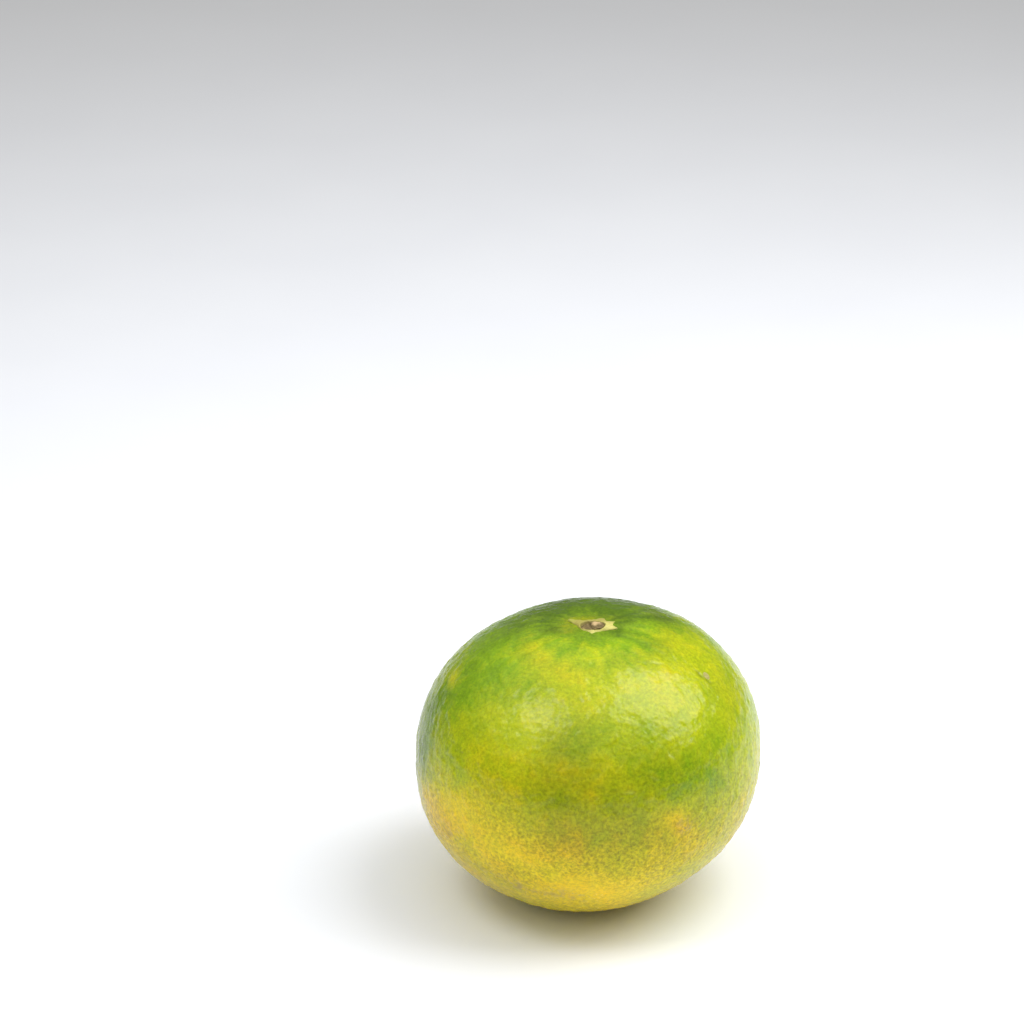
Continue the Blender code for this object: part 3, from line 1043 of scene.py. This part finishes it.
class ORANGE_OT_flecks(bpy.types.Operator):
    """Set corky flecks into the rind"""

    bl_idname = "orange.flecks"
    bl_label = "Corky Flecks"

    def execute(self, context):
        rind = bpy.data.objects["rind"]
        flecks = []
        for seed, (azimuth, elevation, turn, long, wide) in enumerate(FLECKS):
            way = direction_to(azimuth, elevation)
            hit, place, normal, _ = rind.ray_cast(MIDDLE + way * OUTSIDE, -way)
            if not hit:
                raise RuntimeError("no rind under a fleck")
            bpy.ops.object.select_all(action="DESELECT")
            bpy.ops.mesh.primitive_ico_sphere_add(subdivisions=4, radius=1)
            fleck = bpy.context.object
            bpy.ops.object.mode_set(mode="EDIT")
            bpy.ops.mesh.select_all(action="SELECT")
            bpy.ops.transform.vertex_random(offset=FLECK_JAG, uniform=0, normal=0.5, seed=seed)
            bpy.ops.mesh.vertices_smooth(factor=0.5, repeat=2)
            bpy.ops.object.mode_set(mode="OBJECT")
            fleck.matrix_world = (
                Matrix.Translation(place)
                @ normal.to_track_quat("Z", "Y").to_matrix().to_4x4()
                @ Matrix.Rotation(math.radians(turn), 4, "Z")
                @ Matrix.Diagonal((long, wide, FLECK_HEIGHT, 1))
            )
            bpy.ops.object.transform_apply()
            flecks.append(fleck)
        take(flecks[0])
        for fleck in flecks:
            fleck.select_set(True)
        bpy.ops.object.join()
        joined = bpy.context.object
        joined.name = "cork_flecks"
        bpy.ops.object.shade_smooth()
        joined.data.materials.append(fleck_material())
        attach(joined, "root")
        return {"FINISHED"}


def floor_material():
    """Smooth white board, a little blue against bounce light, with painted falloff to pale grey away from the
    fruit.
    """
    pen = NodePen("white board")
    grain = pen.noise(0.05, 2)
    away = pen.add("ShaderNodeVectorMath", operation="LENGTH")
    pen.put(away.inputs[0], pen.place)
    white = pen.mix(grain, *FLOOR_WHITE)
    # Painted falloff of light: grey away from the fruit
    painted_falloff = pen.spread(away.outputs["Value"], FLOOR_WHITE_TO, FLOOR_GREY_FROM)
    colour = pen.mix(painted_falloff, white, FLOOR_FALLOFF_GREY)
    return pen.finish(colour, pen.spread(grain, 0.2, 0.8, 0.55, 0.65), IOR=1.4)


def add_lamp(name, way, distance, size, watts):
    """A rectangular soft lamp that shines on the fruit from this direction."""
    light = bpy.data.lights.new(name, "AREA")
    light.shape = "RECTANGLE"
    light.size, light.size_y = size
    light.energy = watts
    lamp = bpy.data.objects.new(name, light)
    lamp.location = MIDDLE + Vector(way).normalized() * distance
    lamp.rotation_euler = Vector(way).to_track_quat("Z", "Y").to_euler()
    bpy.context.scene.collection.objects.link(lamp)


def soft_sky(settings):
    """White light from above, dimmer from low down."""
    world = bpy.data.worlds.new("studio")
    world.use_nodes = True
    tree = world.node_tree
    sky = tree.nodes["Background"]
    sky.inputs["Color"].default_value = (1, 1, 1, 1)
    where = tree.nodes.new("ShaderNodeTexCoord")
    facing = tree.nodes.new("ShaderNodeVectorMath")
    facing.operation = "DOT_PRODUCT"
    facing.inputs[1].default_value = Vector(BRIGHTEST_WAY).normalized()
    level = tree.nodes.new("ShaderNodeMapRange")
    level.interpolation_type = "SMOOTHSTEP"
    level.inputs["From Min"].default_value = SKY_DIM_FROM
    level.inputs["From Max"].default_value = SKY_BRIGHT_FROM
    level.inputs["To Min"].default_value = settings.dim_sky
    level.inputs["To Max"].default_value = settings.sky
    tree.links.new(where.outputs["Generated"], facing.inputs[0])
    tree.links.new(facing.outputs["Value"], level.inputs["Value"])
    tree.links.new(level.outputs["Result"], sky.inputs["Strength"])
    return world


class ORANGE_OT_stage(bpy.types.Operator):
    """Set the floor, the lights and the camera"""

    bl_idname = "orange.stage"
    bl_label = "Stage"

    def execute(self, context):
        settings = context.scene.orange_stage
        bpy.ops.object.select_all(action="DESELECT")
        bpy.ops.mesh.primitive_plane_add(size=FLOOR_SIZE, location=(0, 0, 0))
        floor = bpy.context.object
        floor.name = "floor"
        floor.data.materials.append(floor_material())

        add_lamp("softbox", *SOFTBOX, settings.key)
        add_lamp("window", *WINDOW, settings.fill)
        context.scene.world = soft_sky(settings)
        context.scene.view_settings.view_transform = "Standard"

        camera = bpy.data.cameras.new("camera")
        camera.sensor_width = SENSOR_WIDTH
        camera.lens = settings.lens
        pixels = settings.lens / camera.sensor_width * PICTURE_WIDTH
        pitch = settings.elevation - math.atan(settings.below / pixels)
        yaw = math.asin(settings.aside / pixels / math.cos(settings.elevation))
        view = bpy.data.objects.new("camera", camera)
        back = Vector((0, -math.cos(settings.elevation), math.sin(settings.elevation)))
        view.location = MIDDLE + back * settings.distance
        view.rotation_euler = Euler((math.radians(90) - pitch, 0, yaw))
        context.scene.collection.objects.link(view)
        context.scene.camera = view
        return {"FINISHED"}


class ORANGE_PT_panel(bpy.types.Panel):
    """Lists the orange's settings and pieces"""

    bl_label = "Sweet Orange"
    bl_idname = "ORANGE_PT_panel"
    bl_space_type = "VIEW_3D"
    bl_region_type = "UI"
    bl_category = "Orange"

    def draw(self, context):
        for settings in (context.scene.orange_rind, context.scene.orange_calyx, context.scene.orange_stage):
            box = self.layout.box()
            for name in settings.__annotations__:
                box.prop(settings, name)
        for operator in OPERATORS:
            self.layout.operator(operator.bl_idname)


SETTINGS = {"orange_rind": RindSettings, "orange_calyx": CalyxSettings, "orange_stage": StageSettings}
OPERATORS = (ORANGE_OT_rind, ORANGE_OT_calyx, ORANGE_OT_stem_stub, ORANGE_OT_flecks, ORANGE_OT_stage)


def register():
    for name, group in SETTINGS.items():
        bpy.utils.register_class(group)
        setattr(bpy.types.Scene, name, PointerProperty(type=group))
    for item in (*OPERATORS, ORANGE_PT_panel):
        bpy.utils.register_class(item)


def unregister():
    for item in (ORANGE_PT_panel, *reversed(OPERATORS)):
        bpy.utils.unregister_class(item)
    for name, group in SETTINGS.items():
        delattr(bpy.types.Scene, name)
        bpy.utils.unregister_class(group)


def main():
    """Makes every piece, then sets the stage."""
    register()
    bpy.ops.orange.rind()
    bpy.ops.orange.calyx()
    bpy.ops.orange.stem_stub()
    bpy.ops.orange.flecks()
    bpy.ops.orange.stage()


if __name__ == "__main__":
    main()
